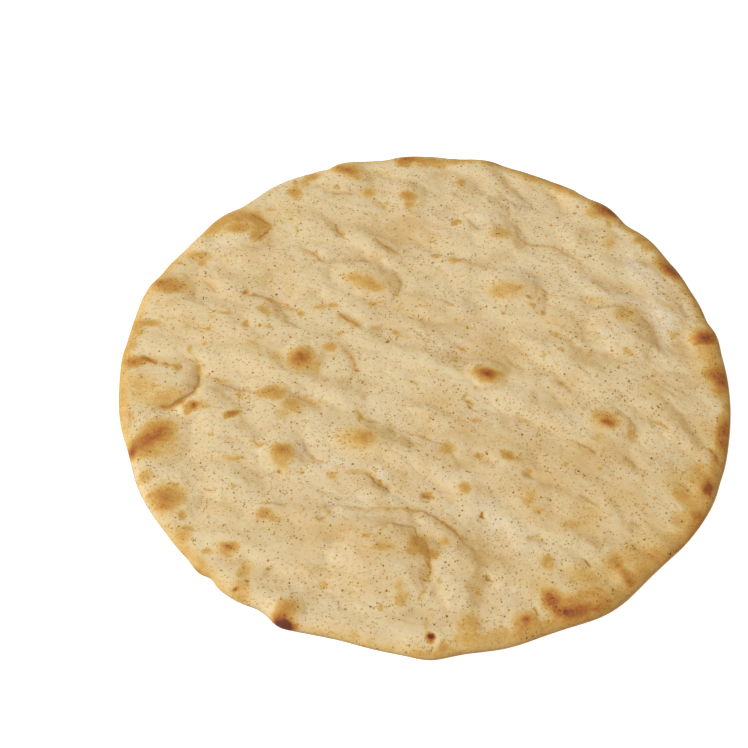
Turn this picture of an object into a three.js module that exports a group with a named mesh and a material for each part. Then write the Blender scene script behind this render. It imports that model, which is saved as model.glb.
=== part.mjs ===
// A round pocketless pita bread: one flat, soft disc with blisters, creases and a rounded rim.
// Millimetres, +Z up. The origin is at the middle of the flat underside.
import * as THREE from 'three';

// Overall sizes
const breadRadius = 90;
const crumbThickness = 6.3; // plain bread between two blisters
const edgeThickness = 4.9; // where the rounded rim begins
const edgeThinning = 24; // the bread thins towards the rim over this distance
const rimWidth = 4.6; // rounded part, seen from above
const rimTuck = 3.4; // how far the rim curls in underneath
const rimCrestShare = 0.55; // height of the outermost line, as a share of the rim's height
const blisterFoot = 1.2; // 1 leaves a sharp foot round a blister, 2 a soft one

// Fineness of the faces
const topRings = 32;
const rimRowsAbove = 4;
const rimRowsBelow = 3;
const rimSides = 6 * topRings; // ring number k of the top has 6 k corners

const degree = Math.PI / 180;

// Places where the outline leaves the circle: direction in degrees, half width in degrees, outward push
const outlineBumps = [
  { towards: -163, spread: 4, push: -0.9 },
  { towards: -144, spread: 4, push: -0.6 },
  { towards: -137.5, spread: 2, push: -0.4 },
  { towards: -134.5, spread: 2, push: 0.3 },
  { towards: -132, spread: 1.2, push: -1.1 },
  { towards: -121, spread: 2.4, push: -1.3 },
  { towards: -116.5, spread: 2, push: 1.0 },
  { towards: -106, spread: 5, push: -1.6 },
  { towards: -90, spread: 9, push: -0.9 },
  { towards: -90, spread: 3, push: 1.6 },
  { towards: -68, spread: 4.5, push: -0.9 },
  { towards: -57.5, spread: 4.5, push: 1.1 },
  { towards: -45, spread: 4, push: -0.5 },
  { towards: -28, spread: 8, push: 1.2 },
  { towards: -23, spread: 2, push: -0.3 },
  { towards: 5, spread: 2.5, push: -0.4 },
  { towards: 14, spread: 2, push: -0.7 },
  { towards: 22, spread: 6, push: -0.7 },
  { towards: 43, spread: 2.5, push: -1.2 },
  { towards: 48.5, spread: 2.5, push: 0.4 },
  { towards: 54, spread: 2.2, push: -0.8 },
  { towards: 75.5, spread: 3.5, push: 1.0 },
  { towards: 82, spread: 2.5, push: -0.4 },
  { towards: 97.5, spread: 2, push: -0.9 },
  { towards: 105.5, spread: 2.2, push: 0.5 },
  { towards: 109.3, spread: 1, push: -0.7 },
  { towards: 119, spread: 4, push: 0.5 },
  { towards: 129, spread: 3, push: -1.1 },
  { towards: 143, spread: 3, push: -0.7 },
  { towards: 154, spread: 1.5, push: -0.4 },
  { towards: 160, spread: 6, push: 1.0 },
  { towards: 175, spread: 2.5, push: 0.45 },
];

// Blisters raised by steam: centre, half length and half width, turn in degrees, height
const blisters = [
  { at: [-78, -2], half: [13.5, 10], turn: -8, height: 1.2 },
  { at: [-12, -64], half: [17, 16], turn: 0, height: 2.2 },
  { at: [8, -68], half: [7, 11], turn: 10, height: 0.9 },
  { at: [4, -52], half: [9, 4.5], turn: -38, height: 0.7 },
  { at: [60, 16], half: [12, 11], turn: -20, height: 1.7 },
  { at: [24, 53], half: [9, 7], turn: -10, height: 1.0 },
  { at: [27, 33], half: [11, 8], turn: -15, height: 1.1 },
  { at: [-17, 36], half: [12, 8], turn: -25, height: 1.3 },
  { at: [-36, 7], half: [7, 7], turn: 0, height: 1.0 },
  { at: [18.5, 0.5], half: [7, 5.5], turn: -8, height: 1.1 },
  { at: [-44, -6], half: [10, 7], turn: -15, height: 0.8 },
  { at: [-18, -22], half: [10, 9], turn: 0, height: 0.8 },
  { at: [-41, -27], half: [7, 9], turn: 10, height: 0.8 },
  { at: [54, -17], half: [9, 8], turn: 0, height: 0.9 },
  { at: [24, -29], half: [9, 6], turn: -40, height: 0.5 },
  { at: [6, -26], half: [9, 7], turn: 0, height: 0.5 },
  { at: [-3, 84], half: [12, 6], turn: 0, height: 1.0 },
  { at: [-24, 79], half: [9, 7], turn: 0, height: 1.1 },
  { at: [-4, 71], half: [7, 6], turn: 0, height: 0.5 },
  { at: [-57, 57], half: [11, 8], turn: -15, height: 1.4 },
  { at: [-78, 33], half: [9, 7], turn: 0, height: 1.3 },
  { at: [-77, -22], half: [10, 9], turn: 35, height: 1.5 },
  { at: [-73, -42], half: [10, 9], turn: 0, height: 1.0 },
  { at: [-55, -58], half: [8, 6], turn: 0, height: 0.7 },
  { at: [-39, -79], half: [7, 8], turn: 0, height: 0.9 },
  { at: [38, -75], half: [13, 7], turn: 12, height: 0.9 },
  { at: [57, 64], half: [8, 6], turn: -40, height: 1.1 },
  { at: [83, 14], half: [6, 7], turn: 0, height: 1.0 },
  { at: [71.5, 31], half: [15, 6.5], turn: -66, height: 0.6 },
];

// Creases pressed into the crust: a line of corners, depth at the bottom, half width
const creases = [
  { through: [[-72, 8], [-66, 4], [-66, -4], [-71, -10], [-80, -12.5]], depth: 1.0, half: 2.6 },
  { through: [[-65, -1], [-56, -4], [-41, -9], [-30, -13]], depth: 0.6, half: 3 },
  { through: [[-27, 59], [-26, 56], [-23, 52]], depth: 0.8, half: 2.8 },
  { through: [[-38, 50], [-31, 44], [-20, 43.5], [-6, 46]], depth: 0.6, half: 3 },
  { through: [[-24, 22], [-19, 18], [-8, 15.5]], depth: 0.8, half: 2.8 },
  { through: [[-54, 31], [-45, 28], [-37, 24]], depth: 0.6, half: 2.8 },
  { through: [[19, 56], [29, 56], [34, 50.5], [46, 47], [52, 40]], depth: 0.7, half: 3 },
  { through: [[31, 36], [40, 30], [60, 27], [70, 21], [72, 8]], depth: 0.8, half: 3 },
  { through: [[-30, -45], [-8, -45.5], [3, -49.5], [11, -58]], depth: 1.0, half: 3 },
  { through: [[-12, -50], [-4, -52], [1, -58], [2, -68]], depth: 0.7, half: 2.6 },
  { through: [[15, -48], [19, -57], [16, -68], [15, -78]], depth: 1.0, half: 4 },
  { through: [[-35, -24], [-29, -31]], depth: 0.7, half: 2.6 },
  { through: [[-17, -34], [-10, -41], [0, -42.5]], depth: 0.7, half: 2.6 },
  { through: [[41, -22], [49, -28]], depth: 0.5, half: 2.6 },
  { through: [[54, -9], [61, -16], [61, -25]], depth: 0.5, half: 2.8 },
  { through: [[37, 16], [46, 12], [53, 8]], depth: 0.5, half: 2.8 },
];

// Broad swells that run from left to right and fall a little: wavelength, direction, start and height
const swells = [
  { length: 31, towards: 78, start: 0.4, height: 0.18 },
  { length: 23, towards: 97, start: 2.1, height: 0.15 },
  { length: 41, towards: 35, start: 1.2, height: 0.15 },
  { length: 14, towards: 72, start: 0.9, height: 0.12 },
  { length: 11.5, towards: 104, start: 3.3, height: 0.1 },
];

const clamp01 = (value) => THREE.MathUtils.clamp(value, 0, 1);

// Signed turn from one direction to another, in degrees, between -180 and 180
function turnBetween(from, to) {
  return THREE.MathUtils.euclideanModulo(to - from + 180, 360) - 180;
}

function outlineRadius(angle) {
  let radius = breadRadius;
  for (const bump of outlineBumps) {
    const away = turnBetween(bump.towards, angle / degree) / bump.spread;
    radius += bump.push * Math.exp(-0.5 * away * away);
  }
  return radius;
}

// A dome with a foot that meets the crust more or less softly
function blisterHeight(blister, x, y) {
  const away = new THREE.Vector2(x - blister.at[0], y - blister.at[1]);
  away.rotateAround(new THREE.Vector2(), -blister.turn * degree);
  const reach = Math.hypot(away.x / blister.half[0], away.y / blister.half[1]);
  return blister.height * Math.pow(clamp01(1 - reach * reach), blisterFoot);
}

function distanceToSegment(x, y, [startX, startY], [endX, endY]) {
  const alongX = endX - startX;
  const alongY = endY - startY;
  const lengthSquared = alongX * alongX + alongY * alongY;
  const share = clamp01(((x - startX) * alongX + (y - startY) * alongY) / lengthSquared);
  return Math.hypot(x - startX - share * alongX, y - startY - share * alongY);
}

function creaseDepth(crease, x, y) {
  let nearest = Infinity;
  for (let corner = 1; corner < crease.through.length; corner++) {
    const distance = distanceToSegment(x, y, crease.through[corner - 1], crease.through[corner]);
    nearest = Math.min(nearest, distance);
  }
  const away = nearest / crease.half;
  return crease.depth * Math.exp(-away * away);
}

function swellHeight(swell, x, y) {
  const along = x * Math.cos(swell.towards * degree) + y * Math.sin(swell.towards * degree);
  return swell.height * Math.sin((2 * Math.PI * along) / swell.length + swell.start);
}

// Height of the upper crust over the flat underside
function crustHeight(x, y) {
  const fromEdge = outlineRadius(Math.atan2(y, x)) - rimWidth - Math.hypot(x, y);
  const inside = THREE.MathUtils.smoothstep(fromEdge, 0, edgeThinning);
  let height = THREE.MathUtils.lerp(edgeThickness, crumbThickness, inside);
  for (const blister of blisters) height += blisterHeight(blister, x, y);
  for (const crease of creases) height -= creaseDepth(crease, x, y);
  for (const swell of swells) height += swellHeight(swell, x, y);
  return height;
}

// Upper crust: rings of 6, 12, 18 ... corners around one in the middle
function addTop(positions, triangles) {
  positions.push(0, 0, crustHeight(0, 0));
  for (let ring = 1; ring <= topRings; ring++) {
    for (let corner = 0; corner < 6 * ring; corner++) {
      const angle = (2 * Math.PI * corner) / (6 * ring);
      const distance = (ring / topRings) * (outlineRadius(angle) - rimWidth);
      const x = distance * Math.cos(angle);
      const y = distance * Math.sin(angle);
      positions.push(x, y, crustHeight(x, y));
    }
    joinRings(triangles, ring);
  }
}

// Number of the first corner on a ring of the top
const ringStart = (ring) => (ring === 0 ? 0 : 1 + 3 * ring * (ring - 1));

// Triangles between one ring of the top and the next smaller one, in six equal sectors
function joinRings(triangles, ring) {
  const outer = (corner) => ringStart(ring) + (corner % (6 * ring));
  const inner = (corner) => ringStart(ring - 1) + (ring === 1 ? 0 : corner % (6 * (ring - 1)));
  for (let sector = 0; sector < 6; sector++) {
    for (let step = 0; step < ring; step++) {
      const outside = sector * ring + step;
      const inside = sector * (ring - 1) + step;
      triangles.push(outer(outside), outer(outside + 1), inner(inside));
      if (step < ring - 1) triangles.push(inner(inside), outer(outside + 1), inner(inside + 1));
    }
  }
}

// Rounded rim: a quarter ellipse out and down from the upper crust, and another in to the underside
function rimPoint(row, angle) {
  const outside = outlineRadius(angle);
  const shoulder = outside - rimWidth;
  const top = crustHeight(shoulder * Math.cos(angle), shoulder * Math.sin(angle));
  const crest = rimCrestShare * top;
  if (row <= rimRowsAbove) {
    const turn = (row / rimRowsAbove) * 90 * degree;
    return [shoulder + rimWidth * Math.sin(turn), crest + (top - crest) * Math.cos(turn)];
  }
  const turn = ((row - rimRowsAbove) / rimRowsBelow) * 90 * degree;
  return [outside - rimTuck * (1 - Math.cos(turn)), crest * (1 - Math.sin(turn))];
}

function addRim(positions, triangles) {
  for (let row = 1; row <= rimRowsAbove + rimRowsBelow; row++) {
    const upper = ringStart(topRings) + (row - 1) * rimSides;
    const lower = upper + rimSides;
    for (let side = 0; side < rimSides; side++) {
      const angle = (2 * Math.PI * side) / rimSides;
      const [distance, height] = rimPoint(row, angle);
      positions.push(distance * Math.cos(angle), distance * Math.sin(angle), height);
      const next = (side + 1) % rimSides;
      triangles.push(upper + side, lower + side, lower + next);
      triangles.push(upper + side, lower + next, upper + next);
    }
  }
}

// Flat underside, a fan from its middle to the last row of the rim
function addUnderside(positions, triangles) {
  const rim = positions.length / 3 - rimSides;
  const middle = positions.length / 3;
  positions.push(0, 0, 0);
  for (let side = 0; side < rimSides; side++) {
    triangles.push(middle, rim + ((side + 1) % rimSides), rim + side);
  }
}

function breadGeometry() {
  const positions = [];
  const triangles = [];
  addTop(positions, triangles);
  addRim(positions, triangles);
  addUnderside(positions, triangles);
  const geometry = new THREE.BufferGeometry();
  geometry.setAttribute('position', new THREE.Float32BufferAttribute(positions, 3));
  geometry.setIndex(triangles);
  geometry.computeBoundingBox();
  const middle = geometry.boundingBox.getCenter(new THREE.Vector3());
  geometry.translate(-middle.x, -middle.y, 0);
  geometry.computeVertexNormals();
  return geometry;
}

const crust = new THREE.MeshStandardMaterial({ color: 0xdcc496, roughness: 0.8, metalness: 0 });

const pita = new THREE.Mesh(breadGeometry(), crust);
pita.name = 'pita_bread';

const bread = new THREE.Group();
bread.add(pita);

export default bread;
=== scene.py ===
# Pocketless pita bread on a pale floor. Metres, +Z up; places on the bread are written in millimetres.
import math
import random

import bmesh
import bpy
import numpy as np
from mathutils import Matrix, Vector, noise


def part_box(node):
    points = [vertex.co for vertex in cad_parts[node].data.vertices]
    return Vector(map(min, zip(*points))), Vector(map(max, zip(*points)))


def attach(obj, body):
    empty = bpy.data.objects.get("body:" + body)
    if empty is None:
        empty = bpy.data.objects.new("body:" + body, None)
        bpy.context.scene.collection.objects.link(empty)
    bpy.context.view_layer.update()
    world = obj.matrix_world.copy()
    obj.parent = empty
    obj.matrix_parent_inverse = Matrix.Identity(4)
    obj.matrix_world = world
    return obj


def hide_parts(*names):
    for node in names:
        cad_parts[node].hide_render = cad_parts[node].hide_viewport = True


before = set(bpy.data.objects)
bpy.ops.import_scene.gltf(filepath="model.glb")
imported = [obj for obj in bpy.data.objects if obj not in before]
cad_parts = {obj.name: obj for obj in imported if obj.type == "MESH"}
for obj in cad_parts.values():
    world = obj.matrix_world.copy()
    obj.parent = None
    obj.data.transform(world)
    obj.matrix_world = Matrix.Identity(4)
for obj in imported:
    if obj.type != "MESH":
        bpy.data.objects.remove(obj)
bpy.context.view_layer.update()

mm = 0.001
breadLow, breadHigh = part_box("pita_bread")

view = {
    "elevation": 53.96,
    "distance": 0.52,
    "aim": (-14.8, 4.86),  # mm from the middle of the outline's circle
    "lens": 83.8,
}

bread = {
    "radius": 90,
    "crumbThickness": 6.3,  # plain bread between two blisters
    "edgeThickness": 4.9,  # where the rounded rim begins
    "edgeThinning": 24,  # the bread thins towards the rim over this distance
    "rimWidth": 4.6,  # rounded part, seen from above
    "rimTuck": 3.4,  # how far the rim curls in underneath
    "rimCrestShare": 0.55,  # height of the outermost line, as a share of the rim's height
    "topCuts": (3, 3, 9),  # 4 x 4 x 10 rings of triangles on the upper crust
    "undersideCuts": (4, 9),
    "rimRowsAbove": 5,
    "rimRowsBelow": 4,
    "seed": 11,
}
noise.seed_set(bread["seed"])  # without a seed, noise_vector is different each run

# Where the outline leaves the circle: direction in degrees, half width in degrees, outward push
outlineBumps = [
    (-163, 4, -0.9), (-144, 4, -0.6), (-137.5, 2, -0.4), (-134.5, 2, 0.3), (-132, 1.2, -1.1),
    (-121, 2.4, -1.3), (-116.5, 2, 1.0), (-106, 5, -1.6), (-90, 9, -0.9), (-90, 3, 1.6), (-68, 4.5, -0.9),
    (-57.5, 4.5, 1.1), (-45, 4, -0.5), (-28, 8, 1.2), (-23, 2, -0.3), (5, 2.5, -0.4), (14, 2, -0.7),
    (22, 6, -0.7), (43, 2.5, -1.2), (48.5, 2.5, 0.4), (54, 2.2, -0.8), (75.5, 3.5, 1.0), (82, 2.5, -0.4),
    (97.5, 2, -0.9), (105.5, 2.2, 0.5), (109.3, 1, -0.7), (119, 4, 0.5), (129, 3, -1.1), (143, 3, -0.7),
    (154, 1.5, -0.4), (160, 6, 1.0), (175, 2.5, 0.45),
]

# Blisters raised by steam, and hollows where height is negative: x, y, half length, half width, turn in
# degrees, height
blisters = [
    (-78, -2, 13.5, 10, -8, 1.2), (-12, -64, 17, 16, 0, 2.2), (8, -68, 7, 11, 10, 0.9),
    (4, -52, 9, 4.5, -38, 0.7), (60, 16, 12, 11, -20, 1.7), (24, 53, 9, 7, -10, 1.0),
    (27, 33, 11, 8, -15, 1.1), (-17, 36, 12, 8, -25, 1.3), (-36, 7, 7, 7, 0, 1.0),
    (18.5, 0.5, 7, 5.5, -8, 1.1), (-44, -6, 10, 7, -15, 0.8), (-18, -22, 10, 9, 0, 0.8),
    (-41, -27, 7, 9, 10, 0.8), (54, -17, 9, 8, 0, 0.9), (24, -29, 9, 6, -40, 0.5), (6, -26, 9, 7, 0, 0.5),
    (-3, 84, 12, 6, 0, 1.0), (-24, 79, 9, 7, 0, 1.1), (-4, 71, 7, 6, 0, 0.5), (-57, 57, 11, 8, -15, 1.4),
    (-78, 33, 9, 7, 0, 1.3), (-77, -22, 10, 9, 35, 1.5), (-73, -42, 10, 9, 0, 1.0),
    (-55, -58, 8, 6, 0, 0.7), (-39, -79, 7, 8, 0, 0.9), (38, -75, 13, 7, 12, 0.9),
    (57, 64, 8, 6, -40, 1.1), (83, 14, 6, 7, 0, 1.0), (71.5, 31, 15, 6.5, -66, 0.6),
    (74, 20, 6, 9, 0, 0.5), (-28, 11, 6, 4, 0, 0.4), (-48, 22, 8, 5, -20, 0.4), (11, -39, 5, 6, 0, 0.4),
    (29, -42, 6, 7, 0, 0.4), (32, -62, 5, 5, 0, 0.4), (26, -81, 6, 6, 0, 0.5),
    (-56, -13.5, 5, 3.5, 0, 0.4), (-67, -11, 6, 4, 15, 0.5), (57, 52, 6, 6, 0, 0.4),
    (-25, 4, 7, 6, 0, 0.5), (-45, -47, 6, 5, 0, 0.4), (13, 77, 6, 5, 0, 0.4),
    (17.5, -55, 7, 12, 10, -0.7), (15.5, -72, 5, 12, -5, -0.5),
]

blisterFoot = 1.2  # 1 leaves a sharp foot round a blister, 2 a soft one

# Creases in the crust: depth, half width, corners
creases = [
    (1.0, 1.5, [(-72, 8), (-68.6, 6), (-66.7, 3), (-66.2, -1), (-67.6, -6), (-71.3, -9.2),
                (-75.5, -11), (-79.5, -11.2)]),
    (0.6, 1.8, [(-65, -1), (-60, -2), (-56, -4), (-48, -7)]),
    (0.5, 2.0, [(-41, -5), (-35, -9), (-29, -13)]),
    (0.8, 1.5, [(-27.5, 60), (-26, 56), (-23, 52)]),
    (0.5, 2.0, [(-39, 50), (-34, 47), (-31, 44), (-20, 43.5), (-8, 45)]),
    (0.5, 1.5, [(-15, 52), (-10, 49), (-6, 45)]),
    (0.5, 1.5, [(-9, 38), (-6.5, 35), (-7, 31), (-8, 30)]),
    (0.8, 1.4, [(-25, 23), (-21, 20), (-18.5, 17.5)]),
    (0.4, 2.0, [(-18.5, 17.5), (-10, 17), (-4, 14.5)]),
    (0.8, 1.7, [(-55, 31.5), (-45, 28.5), (-41, 26), (-37, 23.5)]),
    (0.4, 1.4, [(-68, 37.5), (-65, 34.5), (-62.5, 31.5)]),
    (0.4, 1.6, [(-53, 13.5), (-48, 10.5)]),
    (0.5, 1.8, [(-22.5, 10), (-20.5, 5), (-20, 1)]),
    (0.3, 2.0, [(-56, 50), (-50, 49), (-45, 51)]),
    (0.4, 1.0, [(-14, 69), (-12, 67), (-10.5, 65)]),
    (0.4, 1.6, [(-31, 73.5), (-26, 72), (-21, 72.5)]),
    (0.5, 1.5, [(24.5, 73), (27, 69), (31, 66.5), (37, 66)]),
    (0.6, 1.5, [(14.5, 61), (16.5, 57.5), (18.5, 55.5)]),
    (0.48, 1.8, [(19, 57), (24, 58.5), (29, 56.5), (31, 52.5), (34, 50.5), (41, 49.5), (46, 46.5),
                 (50, 42.5), (52, 40)]),
    (0.4, 2.0, [(2, 46), (14, 44), (16, 41.5), (22, 41)]),
    (0.5, 2.2, [(29, 37.5), (34, 35), (37.5, 31.5), (40, 30), (48, 28), (52, 25.5), (60, 25.8),
                (65, 23), (68.5, 19), (70, 13), (69, 7)]),
    (0.4, 2.4, [(37.5, 31.5), (37.2, 27), (36.5, 22)]),
    (0.3, 1.6, [(5, 28.5), (10.5, 25.5)]),
    (0.4, 1.8, [(36, 16.5), (42, 14), (46, 11.5)]),
    (0.4, 1.6, [(8.5, 11.5), (13, 8.5)]),
    (0.4, 1.4, [(24, 7), (26, 4), (30, 2.5)]),
    (0.4, 1.6, [(53, 8.5), (57, 6)]),
    (0.3, 1.6, [(77, 20), (84.5, 17)]),
    (0.6, 1.2, [(-35.5, -23), (-34, -27), (-31.5, -29.8), (-28.5, -30.5)]),
    (0.5, 1.5, [(-20, -12), (-19, -15), (-17, -16), (-12, -17)]),
    (0.4, 2.0, [(-6, -20), (0, -22), (6, -25), (9, -32), (11, -39)]),
    (0.9, 1.2, [(-17.5, -33.5), (-14.5, -36.3), (-12, -38.5), (-9.5, -41)]),
    (0.4, 2.0, [(-31, -45), (-22, -45), (-14, -46), (-6, -45.5)]),
    (0.7, 1.5, [(-6, -45.5), (0, -47), (3, -49.5), (7, -53), (10, -56), (11.3, -58.5)]),
    (0.55, 1.6, [(-17, -53.5), (-10, -51), (-4, -52.5), (-0.5, -57), (0.5, -62), (0, -67), (-1.5, -73)]),
    (0.4, 1.4, [(-47, -43.5), (-43, -44), (-39, -45)]),
    (0.8, 1.0, [(-1.5, -41), (1.5, -43)]),
    (0.6, 1.2, [(41, -22.3), (45, -25), (49.5, -28.3)]),
    (0.4, 1.2, [(26, -15), (30.5, -17.2)]),
    (0.6, 1.2, [(56.5, -28.8), (60.5, -32.3)]),
    (0.5, 1.2, [(65, -16.3), (68, -17), (70, -19.3)]),
    (0.5, 1.3, [(42, -41), (46, -43.5), (48.5, -45.2)]),
    (0.5, 1.2, [(56, -49.8), (60.5, -51.7)]),
    (0.5, 1.3, [(28, -55), (33, -57.3)]),
    (0.4, 1.5, [(39, -1), (43, -6)]),
    (0.5, 2.0, [(53, -9.5), (58, -14), (60.5, -18), (60.5, -24)]),
    (0.5, 1.6, [(70, -36), (75.5, -40)]),
    (0.5, 1.2, [(80.5, -26), (83, -29), (83.2, -33)]),
    (0.4, 1.2, [(27.5, -33), (30.5, -36)]),
]

# Pits where the dough was pricked or a bubble burst: x, y, half length, half width, turn, depth
pits = [
    (-62, -20.5, 1.4, 0.7, 0, 0.24), (-48, -24.5, 1.6, 0.8, -20, 0.24), (-41.6, -34, 0.8, 0.6, 30, 0.28),
    (-34.7, -33.8, 1.0, 0.6, 40, 0.24), (-61, -39.7, 1.5, 0.6, 0, 0.2), (-29, -49, 1.4, 0.8, 0, 0.36),
    (-43.5, -65.7, 1.3, 0.8, 30, 0.28), (-28.5, -70, 1.3, 1.0, 0, 0.2), (13, -9.2, 1.5, 0.7, -30, 0.32),
    (15.2, -28.3, 1.0, 0.6, 0, 0.24), (15.3, -48.7, 1.0, 1.0, 0, 0.4), (16.2, -68.5, 0.9, 1.6, 20, 0.44),
    (29.5, -35, 0.9, 0.7, 0, 0.28), (43, -63.2, 0.6, 1.6, 20, 0.36), (28.5, -78, 0.5, 1.6, 25, 0.36),
    (0.6, -85.6, 0.9, 1.2, 0, 0.28), (51.5, -62.2, 1.0, 0.7, 0, 0.2), (24, 24, 1.8, 1.0, -20, 0.12),
    (19, 56.5, 1.6, 1.6, 0, 0.28), (-54, 31, 0.7, 0.5, 0, 0.2),
]

# Broad swells that run from left to right and fall a little: wavelength, direction, start, height
swells = [
    (31, 78, 0.4, 0.18), (23, 97, 2.1, 0.15), (41, 35, 1.2, 0.15),
    (14, 72, 0.9, 0.12), (11.5, 104, 3.3, 0.1),
]

# Wrinkling of the crust: size of a wrinkle, stretch along the grain, height, and how much of it is puffed up
# between sharp valleys
wrinkles = [(11, 1.9, 1.3, 0.4), (6, 1.6, 0.36, 0.4), (2.6, 1.4, 0.08, 0)]
blisterStretch = 0.5  # how much a blister pulls its crust smooth
grainTurns = -18, -38  # the wrinkles run to the right and towards the front, more so at the right

hairWrinkle = {
    "depth": 0.1,
    "gap": 11,  # from one to the next, across the grain
    "steepness": 0.4,
    "wander": 2.8,  # how far they stray from straight lines
    "wanderSize": 11,
    "patchSize": 13,  # they come and go in patches of this size
}

# Section of a crease: a wide soft bowl with a narrow slit in it, in half widths and shares of its depth
creaseSection = {"bowlWidth": 1.7, "bowlShare": 0.5, "slitWidth": 0.5, "slitShare": 0.3}

# Size of the noise that bends blisters and creases, and how far it moves them
creaseWander = [(5, 0.8), (2.2, 0.5), (1.2, 0.2)]

lineEnd = 0.25  # how strong a crease or crack still is at its ends
crispLimit = 3.0  # the finish draws no line further than this from a crease or crack
crispSpread = 0.9  # how far from it the line can still wander


def smoothBetween(low, high, value):
    share = np.clip((value - low) / (high - low), 0, 1)
    return share * share * (3 - 2 * share)


def ovalReach(x, y, middleX, middleY, halfLong, halfWide, turn):
    cosine, sine = math.cos(math.radians(turn)), math.sin(math.radians(turn))
    along = (x - middleX) * cosine + (y - middleY) * sine
    across = (y - middleY) * cosine - (x - middleX) * sine
    return np.hypot(along / halfLong, across / halfWide)


def lineReach(x, y, corners):
    # How far each place is from the line, below 0 on its right-hand side, and how strong the line is there,
    # for it fades towards its ends
    lengths = [math.dist(start, end) for start, end in zip(corners, corners[1:])]
    nearest, along, side, passed = np.full(x.shape, 1e6), np.zeros(x.shape), np.ones(x.shape), 0
    for (startX, startY), (endX, endY), length in zip(corners, corners[1:], lengths):
        alongX, alongY = endX - startX, endY - startY
        share = np.clip(((x - startX) * alongX + (y - startY) * alongY) / length ** 2, 0, 1)
        away = np.hypot(x - startX - share * alongX, y - startY - share * alongY)
        along = np.where(away < nearest, (passed + share * length) / sum(lengths), along)
        onLeft = (y - startY) * alongX > (x - startX) * alongY
        side = np.where(away < nearest, np.where(onLeft, 1, -1), side)
        nearest = np.minimum(nearest, away)
        passed += length
    return nearest * side, 1 - (1 - lineEnd) * (2 * along - 1) ** 4


def crispLines(x, y, lines):
    # The nearest line's distance and its strength, apart from each other, so that the finish draws it finer
    # than the mesh
    side, strength = np.full(x.shape, crispLimit), np.zeros(x.shape)
    for full, _, corners in lines:
        away, fading = lineReach(x, y, corners)
        here = full * (fading - lineEnd) / (1 - lineEnd) * np.exp(-(away / crispSpread) ** 2)
        stronger = here > strength
        side[stronger], strength[stronger] = away[stronger], here[stronger]
    return side, strength


def alongGrain(x, y):
    # Places along the grain and across it; the grain turns slowly from one side of the bread to the other
    bent = 0.5 * (x / bread["radius"]) ** 2 * bread["radius"]
    turn = math.radians(sum(grainTurns) / 2)
    sway = math.radians(grainTurns[1] - grainTurns[0]) / 2 * bent
    return x * math.cos(turn) + y * math.sin(turn), y * math.cos(turn) - x * math.sin(turn) - sway


def grainNoise(x, y, size, stretch, layer):
    along, across = alongGrain(x, y)
    return np.array([noise.noise((a / (size * stretch), b / size, layer)) for a, b in zip(along, across)])


def outlineRadius(angle):
    radius = np.full(angle.shape, float(bread["radius"]))
    for towards, spread, push in outlineBumps:
        away = (np.degrees(angle) - towards + 180) % 360 - 180
        radius += push * np.exp(-0.5 * (away / spread) ** 2)
    return radius


def unsteady(x, y, layers):
    # The same places, nudged by noise of the given sizes and reaches, so that no form is a clean oval or line
    moved = np.stack([x, y], axis=1)
    for size, reach in layers:
        nudge = [noise.noise_vector((a / size, b / size, size + bread["seed"])) for a, b in zip(x, y)]
        moved += reach * np.array(nudge)[:, :2]
    return moved[:, 0], moved[:, 1]


def hairWrinkles(x, y):
    # A wave that passes through 0 along the bottom of a fine wrinkle, and how strong the wrinkle is, for it
    # comes and goes
    across = alongGrain(x, y)[1]
    bend = hairWrinkle["wander"] * grainNoise(x, y, hairWrinkle["wanderSize"], 1.7, 31.7)
    wave = hairWrinkle["steepness"] * np.sin(math.pi * across / hairWrinkle["gap"] + bend)
    return wave, smoothBetween(-0.1, 0.3, grainNoise(x, y, hairWrinkle["patchSize"], 1.3, 47.1))


def creaseField(x, y):
    # 1 in the bottom of a full crease, 0 on plain crust
    field = np.zeros(x.shape)
    for depth, half, corners in creases:
        away, strength = lineReach(x, y, corners)
        field = np.maximum(field, depth * strength * np.exp(-abs(away) / (0.9 * half)))
    come = 0.5 + 0.8 * smoothBetween(-0.35, 0.35, grainNoise(x, y, 4, 1, 61.3))
    return np.clip(field * come, 0, 1)


def crustHeight(x, y):
    x, y = unsteady(x, y, creaseWander)
    angle = np.arctan2(y, x)
    fromEdge = outlineRadius(angle) - bread["rimWidth"] - np.hypot(x, y)
    inside = smoothBetween(0, bread["edgeThinning"], fromEdge)
    height = bread["edgeThickness"] + (bread["crumbThickness"] - bread["edgeThickness"]) * inside
    loose = np.ones(x.shape)
    for middleX, middleY, halfLong, halfWide, turn, rise in blisters:
        dome = np.clip(1 - ovalReach(x, y, middleX, middleY, halfLong, halfWide, turn) ** 2, 0, 1)
        height += rise * dome ** blisterFoot
        loose = np.minimum(loose, 1 - blisterStretch * min(abs(rise), 1) * dome ** 0.5)
    for depth, half, corners in creases:
        away, strength = lineReach(x, y, corners)
        bowl = creaseSection["bowlShare"] * np.exp(-(away / (creaseSection["bowlWidth"] * half)) ** 2)
        slit = creaseSection["slitShare"] * np.exp(-abs(away) / (creaseSection["slitWidth"] * half))
        height -= depth * strength * (bowl + slit)
    for middleX, middleY, halfLong, halfWide, turn, depth in pits:
        reach = ovalReach(x, y, middleX, middleY, halfLong, halfWide, turn)
        height -= depth * np.exp(-reach ** 2)
    for length, towards, start, rise in swells:
        along = x * math.cos(math.radians(towards)) + y * math.sin(math.radians(towards))
        height += rise * np.sin(2 * math.pi * along / length + start)
    for layer, (size, stretch, rise, puffed) in enumerate(wrinkles):
        wave = grainNoise(x, y, size, stretch, 7.3 * layer + bread["seed"])
        height += rise * loose * ((1 - puffed) * wave + puffed * (2 * np.hypot(wave, 0.03) - 0.35))
    wave, strength = hairWrinkles(x, y)
    return height - hairWrinkle["depth"] * strength * loose * np.exp(-abs(wave) / 0.06)


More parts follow.
